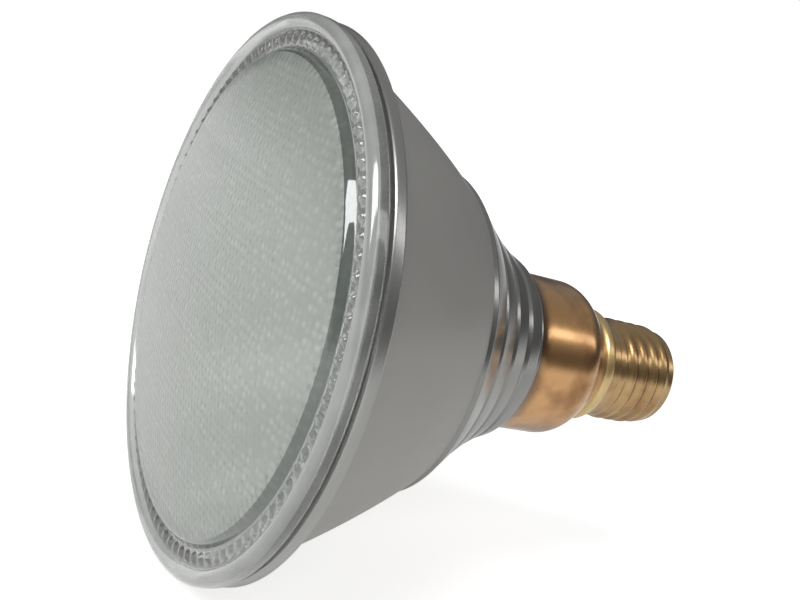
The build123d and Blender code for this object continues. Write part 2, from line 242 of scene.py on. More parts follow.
class CapSizes(bpy.types.PropertyGroup):
    """Sizes of the brass screw cap."""

    skirt_place: length("Skirt place", 69.9, "Place of the skirt's mouth")
    skirt_radius: length("Skirt radius", 19.5, "Radius of the skirt")
    skirt_sheet: length("Skirt sheet", 0.4, "Thickness of the skirt's sheet")
    flare: length("Flare", 0.9, "How far the mouth stands out")
    flare_length: length("Flare length", 3.0, "Length of the flared mouth")
    straight: length("Straight", 18.5, "Length from the mouth to the shoulder's corner")
    shoulder_length: length("Shoulder length", 7.9, "Length of the sloping shoulder")
    collar_radius: length("Collar radius", 14.0, "Radius at the end of the shoulder")
    clinch_radius: length("Clinch radius", 12.9, "Radius of the hole that the shell is folded through")
    shell_sheet: length("Shell sheet", 0.35, "Thickness of the shell's sheet")
    clinch_clear: length("Clinch clearance", 0.06, "Gap between the skirt's flange and the folded shell")
    clinch_lip: length("Clinch lip", 0.8, "How far the shell's folded lip reaches over the flange")
    bead_length: length("Bead length", 2.8, "Length of the shell's bead")
    bead_round: length("Bead round", 0.7, "How far the bead's edges lie inside its crown")
    bead_radius: length("Bead radius", 14.6, "Radius of the shell's bead")
    tube_radius: length("Tube radius", 12.84, "Radius of the plain part of the shell")
    slope: length("Slope", 0.6, "Length of the fall from the plain part to the thread's root")
    land: length("Land", 3.6, "Length of the plain part between bead and thread")
    thread_pitch: length("Thread pitch", 3.629, "Advance of the thread in one turn")
    thread_root: length("Thread root", 12.33, "Radius at the bottom of the thread")
    thread_depth: length("Thread depth", 0.84, "Height of the thread's crest over its root")
    thread_run: length("Thread run", 17.8, "Length of the threaded part")
    end_length: length("End length", 2.4, "Length of the closed-in end")
    end_radius: length("End radius", 10.4, "Radius at the shell's end")
    end_lead: length("End lead", 0.5, "Length of the thread's root behind the thread")
    end_inside: length("End inside", 0.2, "How far the end's inner edge lies within its outer edge")


class Finishes(bpy.types.PropertyGroup):
    """Colours of the lamp's materials."""

    lens_glass: tint("Lens glass", "EEF1EE", "Clear pressed glass")
    # The step's glass is tinted dark as painted shade, in place of the dark gap seen through it
    step_glass: tint("Step glass", "525855", "Deep clear glass at the dome's step")
    rim_glass: tint("Rim glass", "DDE0DD", "Hazy glass of the fused rim")
    stipple_glass: tint("Stippled glass", "E6EAE5", "Inner face of the lens")
    film: tint("Mirror film", "E2E2DE", "Evaporated aluminium seen from the front")
    silver_glass: tint("Silvered glass", "A2A19E", "The same film seen through the bowl's glass")
    bright_glass: tint("Bright glass", "9C9C9A", "The same on the smooth bead")
    # The rings' silver is darker than the bowl's: painted shade on the neck
    ring_glass_shade: tint("Ring glass", "8C8C8A", "The same on the neck's rings")
    skirt_brass: tint("Skirt brass", "D0A06B", "Drawn brass sheet")
    shell_brass: tint("Shell brass", "BA9968", "Rolled brass sheet")
    # Paler, lighter brass on the clinch bead: a painted highlight, the bead shown as if strongly lit
    bead_brass_highlight: tint("Bead brass", "DCC289", "Bare brass of the clinch bead")
    tarnish: tint("Tarnish", "8A5F38", "Brown film on handled brass")


class ViewSettings(bpy.types.PropertyGroup):
    """The camera's place, as a view of the rim's front circle, and the stage."""

    focal: number("Focal length", 47.97, "Lens of the camera on its sensor, in mm")
    distance: length("Distance", 225.24, "Distance from the camera to the middle of the rim's front circle")
    middle_x: number("Middle across", 223.7, "Where that middle shows, in pixels from the left")
    middle_y: number("Middle down", 291.5, "Where that middle shows, in pixels from the top")
    yaw: turn("Yaw", 59.31, "Angle between the lamp's axis and the line of sight")
    tilt: turn("Tilt", 12.24, "Fall of the lamp's axis to the right in the picture")
    elevation: turn("Elevation", 12.0, "Height of the camera over the horizon")
    floor_gap: length("Floor gap", 1.0, "Gap between the lowest glass and the floor")
    floor_half: length("Floor half", 4000.0, "Half the floor's width")
    room_half: length("Room half", 1200.0, "Half the distance between the studio's walls")
    room_top: length("Room top", 1100.0, "Height of the studio's ceiling over the lamp's axis")


class BulbSettings(bpy.types.PropertyGroup):
    """Everything that can be changed about the lamp."""

    lens: PointerProperty(type=LensSizes)
    bowl: PointerProperty(type=BowlSizes)
    cap: PointerProperty(type=CapSizes)
    finish: PointerProperty(type=Finishes)
    view: PointerProperty(type=ViewSettings)


def add(tree, kind, inputs=None, **settings):
    """Adds a node with its settings; inputs holds a value or a socket for each input's name or index."""
    made = tree.nodes.new(kind)
    for name, value in settings.items():
        setattr(made, name, value)
    for key, value in (inputs or {}).items():
        if isinstance(value, bpy.types.NodeSocket):
            tree.links.new(value, made.inputs[key])
        else:
            made.inputs[key].default_value = value
    return made


def calc(tree, operation, *values):
    """Result of arithmetic on numbers."""
    return add(tree, "ShaderNodeMath", dict(enumerate(values)), operation=operation).outputs[0]


def vector_calc(tree, operation, *values):
    """Vector that comes of arithmetic on vectors."""
    return add(tree, "ShaderNodeVectorMath", dict(enumerate(values)), operation=operation).outputs["Vector"]


def scaled(tree, vector, scale):
    """A vector times a number."""
    return add(tree, "ShaderNodeVectorMath", {0: vector, "Scale": scale}, operation="SCALE").outputs["Vector"]


def measure(tree, operation, *values):
    """Number that comes of arithmetic on vectors."""
    return add(tree, "ShaderNodeVectorMath", dict(enumerate(values)), operation=operation).outputs["Value"]


def parts(tree, vector):
    """Sockets of a vector's X, Y and Z."""
    return add(tree, "ShaderNodeSeparateXYZ", {0: vector}).outputs


def joined(tree, **axes):
    """Vector of the given X, Y and Z, with 0 for those left out."""
    return add(tree, "ShaderNodeCombineXYZ", axes).outputs[0]


def ranged(tree, value, start=0.0, stop=1.0, low=0.0, high=1.0, way="LINEAR"):
    """Number that goes from low to high while a value goes from start to stop."""
    inputs = {"Value": value, "From Min": start, "From Max": stop, "To Min": low, "To Max": high}
    return add(tree, "ShaderNodeMapRange", inputs, interpolation_type=way).outputs["Result"]


def noise(tree, where, size, detail):
    """Soft noise whose features have about the given size."""
    inputs = {"Vector": where, "Scale": 1 / size, "Detail": detail}
    return add(tree, "ShaderNodeTexNoise", inputs).outputs["Fac"]


def ramp(tree, value, *stops):
    """Colour mixed along a value between stops, each a position and a colour."""
    made = add(tree, "ShaderNodeValToRGB", {"Fac": value})
    elements = made.color_ramp.elements
    for element, (position, color) in zip(elements, (stops[0], stops[-1])):
        element.position = position
        element.color = (*color, 1.0)
    for position, color in stops[1:-1]:
        elements.new(position).color = (*color, 1.0)
    return made.outputs["Color"]


def bumped(tree, height, depth, strength):
    """Normal of a surface that a pattern raises by a depth."""
    inputs = {"Height": height, "Distance": depth, "Strength": strength}
    return add(tree, "ShaderNodeBump", inputs).outputs["Normal"]


def shaded(name):
    """A new material, its empty tree, and a socket for a point's place in the object."""
    made = bpy.data.materials.new(name)
    made.use_nodes = True
    tree = made.node_tree
    tree.nodes.clear()
    return made, tree, add(tree, "ShaderNodeTexCoord").outputs["Object"]


def finish(tree, shader):
    """Links a shader to the material's output."""
    add(tree, "ShaderNodeOutputMaterial", {"Surface": shader.outputs[0]})


def surfaced(made, inputs):
    """Ends a material with one principled shader."""
    finish(made.node_tree, add(made.node_tree, "ShaderNodeBsdfPrincipled", inputs))
    return made


def pressed_glass(name, color, sheen):
    """Clear pressed soda glass: bright reflections and a faint ripple left by the mould."""
    made, tree, where = shaded(name)
    ripple = noise(tree, where, 7 * mm, 2.0)
    inputs = {
        "Base Color": (*color, 1.0),
        "Roughness": 0.04,
        "IOR": 1.5,
        "Transmission Weight": 1.0,
        "Coat Weight": sheen,
        "Coat Roughness": 0.03,
        "Normal": bumped(tree, ripple, 0.04 * mm, 0.35),
    }
    return surfaced(made, inputs)


def rim_glass(name, color, clarity):
    """Glass of the rim, left hazy by the heat that fused it to the bowl: pale and only partly clear."""
    made, tree, where = shaded(name)
    haze = noise(tree, where, 6 * mm, 3.0)
    inputs = {
        "Base Color": (*color, 1.0),
        "Roughness": 0.12,
        "IOR": 1.5,
        "Transmission Weight": ranged(tree, haze, low=clarity, high=clarity + 0.2),
        "Coat Weight": 1.0,
        "Coat Roughness": 0.04,
    }
    return surfaced(made, inputs)


def stippled_glass(color, pitch):
    """Inner face of the lens, pressed with bumps that spread the beam: frosted grey, with a painted glint
    whitening the crowns of some bumps.
    """
    made, tree, where = shaded("stippled_glass")
    grain = noise(tree, where, 0.8 * mm, 3.0)
    part = parts(tree, where)
    plan = joined(tree, X=part["X"], Y=part["Z"])
    spots = {"Vector": plan, "Scale": 1 / pitch, "Randomness": 0.5}
    bumps = add(tree, "ShaderNodeTexVoronoi", spots, voronoi_dimensions="2D").outputs
    # Painted glints: the crowns of randomly chosen bumps are whitened, in place of light that sparkles in
    # them
    crown = ranged(tree, bumps["Distance"], 0.5, 0.1)
    chance = add(tree, "ShaderNodeSeparateColor", {0: bumps["Color"]}).outputs[0]
    painted_glint = calc(tree, "MULTIPLY", crown, chance)
    inputs = {
        "Base Color": ramp(tree, painted_glint, (0.0, dimmed(color, 0.93)), (1.0, WHITE)),
        "Roughness": ranged(tree, grain, low=0.35, high=0.5),
        "IOR": 1.5,
        "Transmission Weight": 0.3,
        "Normal": bumped(tree, grain, 0.05 * mm, 0.3),
    }
    return surfaced(made, inputs)


def mirror_film(color):
    """Aluminium evaporated on pressed glass: a bright mirror with the glass's slight waviness."""
    made, tree, where = shaded("aluminium_mirror_film")
    waves = noise(tree, where, 9 * mm, 1.0)
    inputs = {
        "Base Color": (*color, 1.0),
        "Metallic": 1.0,
        "Roughness": 0.08,
        "Normal": bumped(tree, waves, 0.05 * mm, 0.3),
    }
    return surfaced(made, inputs)


def silvered_glass(name, color, gloss, metal):
    """The film's back seen through pressed glass: a satin grey metal under a clear glass skin."""
    made, tree, where = shaded(name)
    clouds = noise(tree, where, 22 * mm, 4.0)
    grain = noise(tree, where, 0.9 * mm, 2.0)
    inputs = {
        "Base Color": ramp(tree, clouds, (0.0, dimmed(color, 0.9)), (1.0, dimmed(color, 1.1))),
        "Metallic": metal,
        "Roughness": ranged(tree, clouds, low=gloss, high=gloss + 0.08),
        "Coat Weight": 0.25,
        "Coat Roughness": 0.12,
        "Normal": bumped(tree, grain, 0.03 * mm, 0.25),
    }
    return surfaced(made, inputs)


def rolled_brass(name, color, tarnish, gloss, mouth=None):
    """Brass under clear lacquer: tan metal with brown clouds of tarnish and fine rings from the rolls.

    Where the place of a skirt's mouth is given, the metal darkens towards that mouth over the first 5 mm.
    """
    made, tree, where = shaded(name)
    clouds = noise(tree, where, 9 * mm, 5.0)
    tone = ramp(tree, clouds, (0.28, tarnish), (0.58, color))
    # Darker towards the skirt's mouth, next to the glass neck
    if mouth is not None:
        place = parts(tree, where)["Y"]
        mouth_darkening = ranged(tree, place, mouth, mouth + 5 * mm, 0.9, 0.0, "SMOOTHSTEP")
        dark = (*dimmed(tarnish, 0.35), 1.0)
        tone = add(tree, "ShaderNodeMix", {0: mouth_darkening, 6: tone, 7: dark}, data_type="RGBA").outputs[2]
    along = vector_calc(tree, "MULTIPLY", where, (0.05, 1.0, 0.05))
    rings = noise(tree, along, 0.35 * mm, 3.0)
    inputs = {
        "Base Color": tone,
        "Metallic": 1.0,
        "Roughness": ranged(tree, clouds, low=gloss + 0.1, high=gloss),
        "Coat Weight": 0.6,
        "Coat Roughness": 0.1,
        "Normal": bumped(tree, rings, 0.02 * mm, 0.2),
    }
    return surfaced(made, inputs)


def plain_finish(name, low, high, grain, metallic, roughness, bump_depth):
    """Two close colours mixed by a fine grain of the given size, with a bump of the same grain."""
    made, tree, where = shaded(name)
    specks = noise(tree, where, grain, 4.0)
    inputs = {
        "Base Color": ramp(tree, specks, (0.35, hex_color(low)), (0.65, hex_color(high))),
        "Metallic": metallic,
        "Roughness": roughness,
        "Normal": bumped(tree, specks, bump_depth, 0.5),
    }
    return surfaced(made, inputs)


def quartz_glass():
    """Fused quartz tube: very clear, with the drawn tube's faint streaks along its length."""
    made, tree, where = shaded("fused_quartz")
    along = vector_calc(tree, "MULTIPLY", where, (1.0, 0.1, 1.0))
    streaks = noise(tree, along, 1.2 * mm, 2.0)
    inputs = {
        "Base Color": (*hex_color("F4F6F5"), 1.0),
        "Roughness": 0.02,
        "IOR": 1.46,
        "Transmission Weight": 1.0,
        "Normal": bumped(tree, streaks, 0.02 * mm, 0.3),
    }
    return surfaced(made, inputs)


def eased(points, eases, count=5):
    """The same outline with each inner corner made a short curve that reaches its ease along the sides."""
    path = [Vector(p) for p in points]
    made = [path[0]]
    for before, corner, after, ease in zip(path, path[1:], path[2:], eases):
        start = corner + (before - corner).normalized() * min(ease, EASE_SHARE * (before - corner).length)
        end = corner + (after - corner).normalized() * min(ease, EASE_SHARE * (after - corner).length)
        made += [bent(start, corner, end, i / count) for i in range(count + 1)]
    return made + [path[-1]]


def bent(start, middle, end, share):
    """Point at a share of the curve from start to end whose two ends head for the middle point."""
    return start * (1 - share) ** 2 + middle * 2 * share * (1 - share) + end * share**2


def rounded(start, end, rise, count=12):
    """Points of an arc from start to end whose crown stands off their middle by the vector rise."""
    a, b, lift = Vector(start), Vector(end), Vector(rise)
    half = (b - a) / 2
    radius = (half.length_squared + lift.length_squared) / (2 * lift.length)
    centre = a + half + lift - lift.normalized() * radius
    reach = atan2(half.length, radius - lift.length)
    turns = [reach * (2 * i / count - 1) for i in range(count + 1)]
    return [centre + lift.normalized() * radius * cos(t) + half.normalized() * radius * sin(t) for t in turns]


def parabola(start, end, focus, apex, count):
    """Points of a parabola about the axis from one radius to another."""
    radii = [start + (end - start) * i / count for i in range(count + 1)]
    return [Vector((r, apex - r * r / (4 * focus))) for r in radii]


def mirror_curve(bowl):
    """Focal length of the mirror's parabola and the place of its apex."""
    return bowl.mouth**2 / (4 * bowl.mirror_depth), bowl.front + bowl.mirror_depth


def placed(name, data):
    """A new object of the scene that shows a mesh, a camera or a light."""
    made = bpy.data.objects.new(name, data)
    bpy.context.scene.collection.objects.link(made)
    return made


def lathe(name, spans, steps, materials, close=None):
    """Turns an outline of radius and place about the axis into one closed mesh, a finish to each span.

    An outline that ends on a ring is closed there by the function close.
    """
    work = bmesh.new()
    marks = work.verts.layers.float.new(STIPPLE) if close else None
    angles = [2 * pi * i / steps for i in range(steps)]
    first = Vector(spans[0][0])
    first_ring = None
    last_ring = None
    for index, span in enumerate(spans):
        for point in span if last_ring is None else span[1:]:
            off_axis = point[0] > SMALL
            if last_ring is not None and off_axis and (Vector(point) - first).length < SMALL:
                ring = first_ring
            else:
                shown = angles if off_axis else angles[:1]
                ring = [work.verts.new((point[0] * sin(a), point[1] - TIP, point[0] * cos(a))) for a in shown]
            if last_ring is None:
                first_ring = ring
            else:
                for i in range(steps):
                    j = (i + 1) % steps
                    corners = [last_ring[i % len(last_ring)], last_ring[j % len(last_ring)]]
                    corners += [ring[j % len(ring)], ring[i % len(ring)]]
                    work.faces.new(list(dict.fromkeys(corners))).material_index = index
            last_ring = ring
    if close:
        close(work, last_ring, marks)
    for face in work.faces:
        face.smooth = True
    bmesh.ops.recalc_face_normals(work, faces=work.faces)
    mesh = bpy.data.meshes.new(name)
    work.to_mesh(mesh)
    work.free()
    mesh.set_sharp_from_angle(angle=SHARP)
    for material in materials:
        mesh.materials.append(material)
    return placed(name, mesh)


def seat(piece, node):
    """Fixes a finished piece to the lamp's body, in place of the solid that it stands for."""
    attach(piece, "root")
    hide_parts(node)


def paint(node, material):
    """Gives a solid of the frame a finish."""
    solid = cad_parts[node]
    solid.data.materials.clear()
    solid.data.materials.append(material)


def node_group(name, sizes):
    """A new tree that takes a geometry and sizes and gives a geometry, and the sockets of its inputs."""
    tree = bpy.data.node_groups.new(name, "GeometryNodeTree")
    tree.interface.new_socket("Geometry", in_out="INPUT", socket_type="NodeSocketGeometry")
    tree.interface.new_socket("Geometry", in_out="OUTPUT", socket_type="NodeSocketGeometry")
    for size, kind in sizes.items():
        tree.interface.new_socket(size, in_out="INPUT", socket_type=kind)
    return tree, add(tree, "NodeGroupInput").outputs


def apply_nodes(piece, tree, values):
    """Runs a geometry tree on a piece with the given input values and keeps the result as its plain mesh."""
    modifier = piece.modifiers.new(tree.name, "NODES")
    modifier.node_group = tree
    for item in tree.interface.items_tree:
        if item.name in values and item.in_out == "INPUT":
            modifier[item.identifier] = values[item.name]
    shown = piece.evaluated_get(bpy.context.evaluated_depsgraph_get())
    mesh = bpy.data.meshes.new_from_object(shown)
    piece.modifiers.clear()
    piece.data = mesh
    mesh.name = piece.name


def polar(tree):
    """Sockets for a point's vector across the axis, its angle round the axis and its place along it."""
    where = parts(tree, add(tree, "GeometryNodeInputPosition").outputs[0])
    across = joined(tree, X=where["X"], Y=where["Z"])
    return across, calc(tree, "ARCTAN2", where["X"], where["Z"]), where["Y"]


def stud_tree(values, finishes):
    """Raises rounded studs from the flat ring, and close-set bumps from the back's marked points."""
    sizes = {**dict.fromkeys(values, "NodeSocketFloat"), "Count": "NodeSocketInt"}
    tree, given = node_group("lens_studs", sizes)
    across, angle, place = polar(tree)
    off = calc(tree, "SUBTRACT", measure(tree, "LENGTH", across), given["Ring radius"])
    half = calc(tree, "MULTIPLY", given["Length"], 0.5)
    away = calc(tree, "ABSOLUTE", calc(tree, "DIVIDE", off, half))
    outward = ranged(tree, away, 1.0, STUD_TOP, way="SMOOTHSTEP")
    wave = calc(tree, "COSINE", calc(tree, "MULTIPLY", angle, given["Count"]))
    around = ranged(tree, wave, -STUD_FLANK, STUD_FLANK, way="SMOOTHSTEP")
    lift = calc(tree, "MULTIPLY", calc(tree, "MULTIPLY", outward, around), given["Height"])
    shift = joined(tree, Y=calc(tree, "MULTIPLY", lift, -1.0))
    front = calc(tree, "LESS_THAN", place, given["Ring end"])
    inputs = {"Geometry": given["Geometry"], "Selection": front, "Offset": shift}
    studded = add(tree, "GeometryNodeSetPosition", inputs).outputs[0]

    where = add(tree, "GeometryNodeInputPosition").outputs[0]
    patch = calc(tree, "DIVIDE", 1.0, given["Stipple patch"])
    inputs = {"Vector": where, "Scale": patch, "Detail": 0.0}
    drift = add(tree, "ShaderNodeTexNoise", inputs).outputs["Color"]
    stray = scaled(tree, drift, given["Stipple stray"])
    cells = calc(tree, "DIVIDE", 2 * pi, given["Stipple pitch"])
    spot = scaled(tree, vector_calc(tree, "ADD", where, stray), cells)
    # Three waves at 60 degrees add up to between -1.5 and 3
    level = 1.5
    for way in ((1, 0, -1 / sqrt(3)), (0, 0, 2 / sqrt(3)), (1, 0, 1 / sqrt(3))):
        level = calc(tree, "ADD", calc(tree, "COSINE", measure(tree, "DOT_PRODUCT", spot, way)), level)
    marked = add(tree, "GeometryNodeInputNamedAttribute", {"Name": STIPPLE}, data_type="FLOAT").outputs[0]
    bump = calc(tree, "MULTIPLY", calc(tree, "DIVIDE", level, 4.5), marked)
    rise = calc(tree, "MULTIPLY", bump, given["Stipple height"])
    behind = joined(tree, Y=rise)
    stippled = add(tree, "GeometryNodeSetPosition", {"Geometry": studded, "Offset": behind}).outputs[0]

    last = add(tree, "GeometryNodeRealizeInstances", {"Geometry": stippled}).outputs[0]
    for index, material in enumerate(finishes):
        held = add(tree, "GeometryNodeInputMaterialIndex").outputs[0]
        own = add(tree, "FunctionNodeCompare", {2: held, 3: index}, data_type="INT", operation="EQUAL")
        inputs = {"Geometry": last, "Selection": own.outputs[0], "Material": material}
        last = add(tree, "GeometryNodeSetMaterial", inputs).outputs[0]
    add(tree, "NodeGroupOutput", {0: last})
    return tree


class BULB_OT_lens(bpy.types.Operator):
    """Lens of pressed glass with a stippled inside and a ring of studs"""

    bl_idname = "bulb.lens"
    bl_label = "Lens"

    def execute(self, context):
        lens = context.scene.bulb.lens
        colors = context.scene.bulb.finish
        sphere = (lens.dome_radius**2 + lens.dome_rise**2) / (2 * lens.dome_rise)
        centre = sphere - lens.dome_ahead
        inner = sphere - lens.wall
        focus, apex = mirror_curve(context.scene.bulb.bowl)
        back = lens.flange + lens.lip_depth
        lip = sqrt(4 * focus * (apex - back)) - lens.lip_clear
        lip_in = lip - lens.lip_wall
        nose_in = lens.radius - lens.nose_width

        def dome(radius, ball):
            """Point of the dome's outer or inner sphere."""
            return Vector((radius, centre - sqrt(ball**2 - radius**2)))

        band = lens.dome_radius - lens.dome_band
        front = [dome(band * i / DOME_ROWS, sphere) for i in range(DOME_ROWS + 1)]
        step = [front[-1], dome(lens.dome_radius, sphere)]
        step += [(lens.moat_radius, lens.moat_place), (nose_in, lens.moat_place)]
        ring = eased(step, DOME_EASES, count=8)[1:-1]
        left = (nose_in - ring[-1].x) / FLAT_ROWS
        flat = [Vector((ring[-1].x + left * i, lens.moat_place)) for i in range(1, FLAT_ROWS + 1)]
        nose = rounded((nose_in, lens.moat_place), (lens.radius, lens.moat_place), (0, -lens.moat_place))
        rim = [nose[-1], (lens.radius, lens.flange - lens.bevel), (lens.radius - lens.bevel, lens.flange)]
        rim += [(lip, lens.flange), (lip, back), (lip_in, back), dome(lip_in, inner)]
        finishes = [
            pressed_glass("pressed_glass", colors.lens_glass, 0.0),
            # Clear glass tinted dark at the dome's step: painted shade
            pressed_glass("step_glass_painted_shade", colors.step_glass, 1.0),
            rim_glass("studded_rim_glass", colors.rim_glass, 0.7),
            rim_glass("hazy_rim_glass", colors.rim_glass, 0.5),
            rim_glass("rim_edge_glass", colors.rim_glass, 0.7),
            stippled_glass(colors.stipple_glass, lens.stipple_pitch),
        ]
        spans = [
            front + ring[: STEP_FIRST + 1],
            ring[STEP_FIRST : STEP_LAST + 1],
            ring[STEP_LAST:] + flat,
            nose,
            eased(rim, repeat(CORNER_EASE), count=3),
        ]

        def close(work, ring, marks):
            """Closes the back with small triangles and marks the points that the bumps lift."""
            pitch = lens.stipple_pitch / BUMP_POINTS
            row = pitch * sqrt(3) / 2
            reach = int(lip_in / row) + 1
            points = [Vector((v.co.x, v.co.z)) for v in ring]
            edges = [(i, (i + 1) % len(ring)) for i in range(len(ring))]
            for j in range(-reach, reach + 1):
                for i in range(-reach, reach + 1):
                    point = Vector((pitch * (i + 0.5 * (j % 2)), row * j))
                    if point.length < lip_in - pitch:
                        points.append(point)
            found = delaunay_2d_cdt(points, edges, [], 1, SMALL)
            made = []
            for spot, given in zip(found[0], found[3]):
                if given[0] < len(ring):
                    made.append(ring[given[0]])
                else:
                    vert = work.verts.new((spot.x, dome(spot.length, inner).y - TIP, spot.y))
                    vert[marks] = 1.0
                    made.append(vert)
            for corners in found[2]:
                work.faces.new([made[i] for i in corners]).material_index = len(spans)

        piece = lathe("lens_glass", spans, STUD_STEPS * lens.stud_count, finishes, close)
        values = {
            "Count": lens.stud_count,
            "Ring radius": (lens.moat_radius + nose_in) / 2,
            "Ring end": lens.moat_place + lens.stud_reach - TIP,
            "Length": lens.stud_length,
            "Height": lens.stud_height,
            "Stipple pitch": lens.stipple_pitch,
            "Stipple height": lens.stipple_height,
            "Stipple patch": lens.stipple_patch,
            "Stipple stray": lens.stipple_stray,
        }
        apply_nodes(piece, stud_tree(values, finishes), values)
        seat(piece, "lens")
        return {"FINISHED"}


def neck_rings(bowl, start):
    """Outline of the rings round the neck, whose valleys lie on one curve that begins at start."""
    sweep = Vector((bowl.sweep_radius, bowl.sweep_place))
    end = Vector((bowl.ring_end_radius, bowl.bowl_end + bowl.ring_count * bowl.ring_pitch))
    made = [start]
    for i in range(bowl.ring_count):
        valley = bent(start, sweep, end, (i + 1) / bowl.ring_count)
        run = valley - made[-1]
        out = Vector((run.y, -run.x)).normalized() * bowl.ring_height
        flank = run.normalized() * bowl.ring_height
        corners = [made[-1], made[-1] + flank + out, valley - flank + out, valley]
        made += eased(corners, RING_EASES, count=6)[1:]
    return made


class BULB_OT_bowl(bpy.types.Operator):
    """Reflector bowl of silvered pressed glass, with its bead, mirror and ringed neck"""

    bl_idname = "bulb.bowl"
    bl_label = "Reflector bowl"

    def execute(self, context):
        bowl = context.scene.bulb.bowl
        colors = context.scene.bulb.finish
        focus, apex = mirror_curve(bowl)
        outer_mouth = bowl.mouth + bowl.wall * sqrt(1 + (2 * focus / bowl.mouth) ** 2)
        outer_apex = apex + bowl.wall
        outer_focus = outer_mouth**2 / (4 * (outer_apex - bowl.front))
        well = apex - bowl.well_radius**2 / (4 * focus)
        floor = well + bowl.well_depth
        heel = floor + bowl.heel
        neck_end = heel + bowl.neck_hang
        neck_in = bowl.neck_radius - bowl.neck_wall
        bead_back = bowl.front + bowl.bead_length
        bead_radius = bowl.radius - bowl.bead_fall
        start = bead_back + bowl.bead_foot
        start_radius = sqrt(4 * outer_focus * (outer_apex - start))
        end_radius = sqrt(4 * outer_focus * (outer_apex - bowl.bowl_end))

        mirror = eased([(0, floor), (bowl.well_radius, floor), (bowl.well_radius, well)], [WELL_EASE])
        mirror += parabola(bowl.well_radius, bowl.mouth, focus, apex, BOWL_ROWS)[1:]
        crown = [(bead_radius, bowl.front), (bowl.radius, bowl.front + bowl.bead_shoulder)]
        crown += [(bowl.radius, bead_back - bowl.bead_shoulder), (bead_radius, bead_back)]
        bead = eased(crown, BEAD_EASES, count=8)
        side = parabola(start_radius, end_radius, outer_focus, outer_apex, BOWL_ROWS)
        foot = eased([bead[-2], bead[-1], side[0], side[1]], repeat(FOOT_EASE))[1:-1]
        rim = [mirror[-1]] + bead + foot[:-1]
        wall = foot[-2:] + side[2:]
        neck = neck_rings(bowl, wall[-1])
        ledge = neck[-1].y + bowl.ring_height
        tail = [neck[-1], (bowl.ring_end_radius, ledge), (bowl.neck_radius, ledge)]
        tail += [(bowl.neck_radius, neck_end), (neck_in, neck_end), (neck_in, heel), (0, heel)]
        neck += eased(tail, repeat(CORNER_EASE), count=3)[1:]
        finishes = [
            mirror_film(colors.film),
            silvered_glass("bright_silvered_glass", colors.bright_glass, 0.23, 0.9),
            silvered_glass("satin_silvered_glass", colors.silver_glass, 0.5, 0.6),
            # Darker silver on the rings: painted shade
            silvered_glass("ringed_silvered_glass_painted_shade", colors.ring_glass_shade, 0.17, 0.85),
        ]
        piece = lathe("reflector_bowl", [mirror, rim, wall, neck], BOWL_STEPS, finishes)
        seat(piece, "reflector")
        return {"FINISHED"}


class BULB_OT_burner(bpy.types.Operator):
    """Finishes of the seal and of the burner inside the bowl"""

    bl_idname = "bulb.burner"
    bl_label = "Burner and seal"

    def execute(self, context):
        tungsten = plain_finish("drawn_tungsten", "4A4A4C", "6A6A6C", 0.3 * mm, 1.0, 0.45, 0.02 * mm)
        nickel = plain_finish("nickel_wire", "8F8D88", "B4B1AA", 0.5 * mm, 1.0, 0.32, 0.01 * mm)
        seal = plain_finish("pale_sealing_cement", "B4B3AE", "C6C5C0", 0.6 * mm, 0.0, 0.7, 0.05 * mm)
        cement = plain_finish("cap_cement", "B9B1A0", "D6CFC0", 0.8 * mm, 0.0, 0.9, 0.1 * mm)
        paint("rim_seal", seal)
        paint("capsule", quartz_glass())
        for node in ("filament", "press_foils"):
            paint(node, tungsten)
        for node in ("capsule_pins", "support_posts", "ferrules", "centre_lead", "side_lead"):
            paint(node, nickel)
        paint("cap_cement", cement)
        return {"FINISHED"}


def make_skirt(cap, material):
    """Drawn skirt with a flared mouth, a sloping shoulder and a flange for the shell."""
    shoulder = cap.skirt_place + cap.straight
    end = shoulder + cap.shoulder_length
    flare_end = cap.skirt_place + cap.flare_length
    sheet = cap.skirt_sheet
    outside = [
        (cap.skirt_radius + cap.flare, cap.skirt_place),
        (cap.skirt_radius, flare_end),
        (cap.skirt_radius, shoulder),
        (cap.collar_radius, end),
        (cap.clinch_radius, end),
    ]
    inside = [
        (cap.clinch_radius, end - sheet),
        (cap.collar_radius - sheet / 2, end - sheet),
        (cap.skirt_radius - sheet, shoulder - sheet / 4),
        (cap.skirt_radius - sheet, flare_end),
        (cap.skirt_radius + cap.flare - sheet, cap.skirt_place),
    ]
    outline = eased(outside, SKIRT_EASES, count=10) + eased(inside, SKIRT_INNER_EASES, count=10)
    piece = lathe("brass_skirt", [outline + outline[:1]], SKIRT_STEPS, [material])
    seat(piece, "cap_skirt")


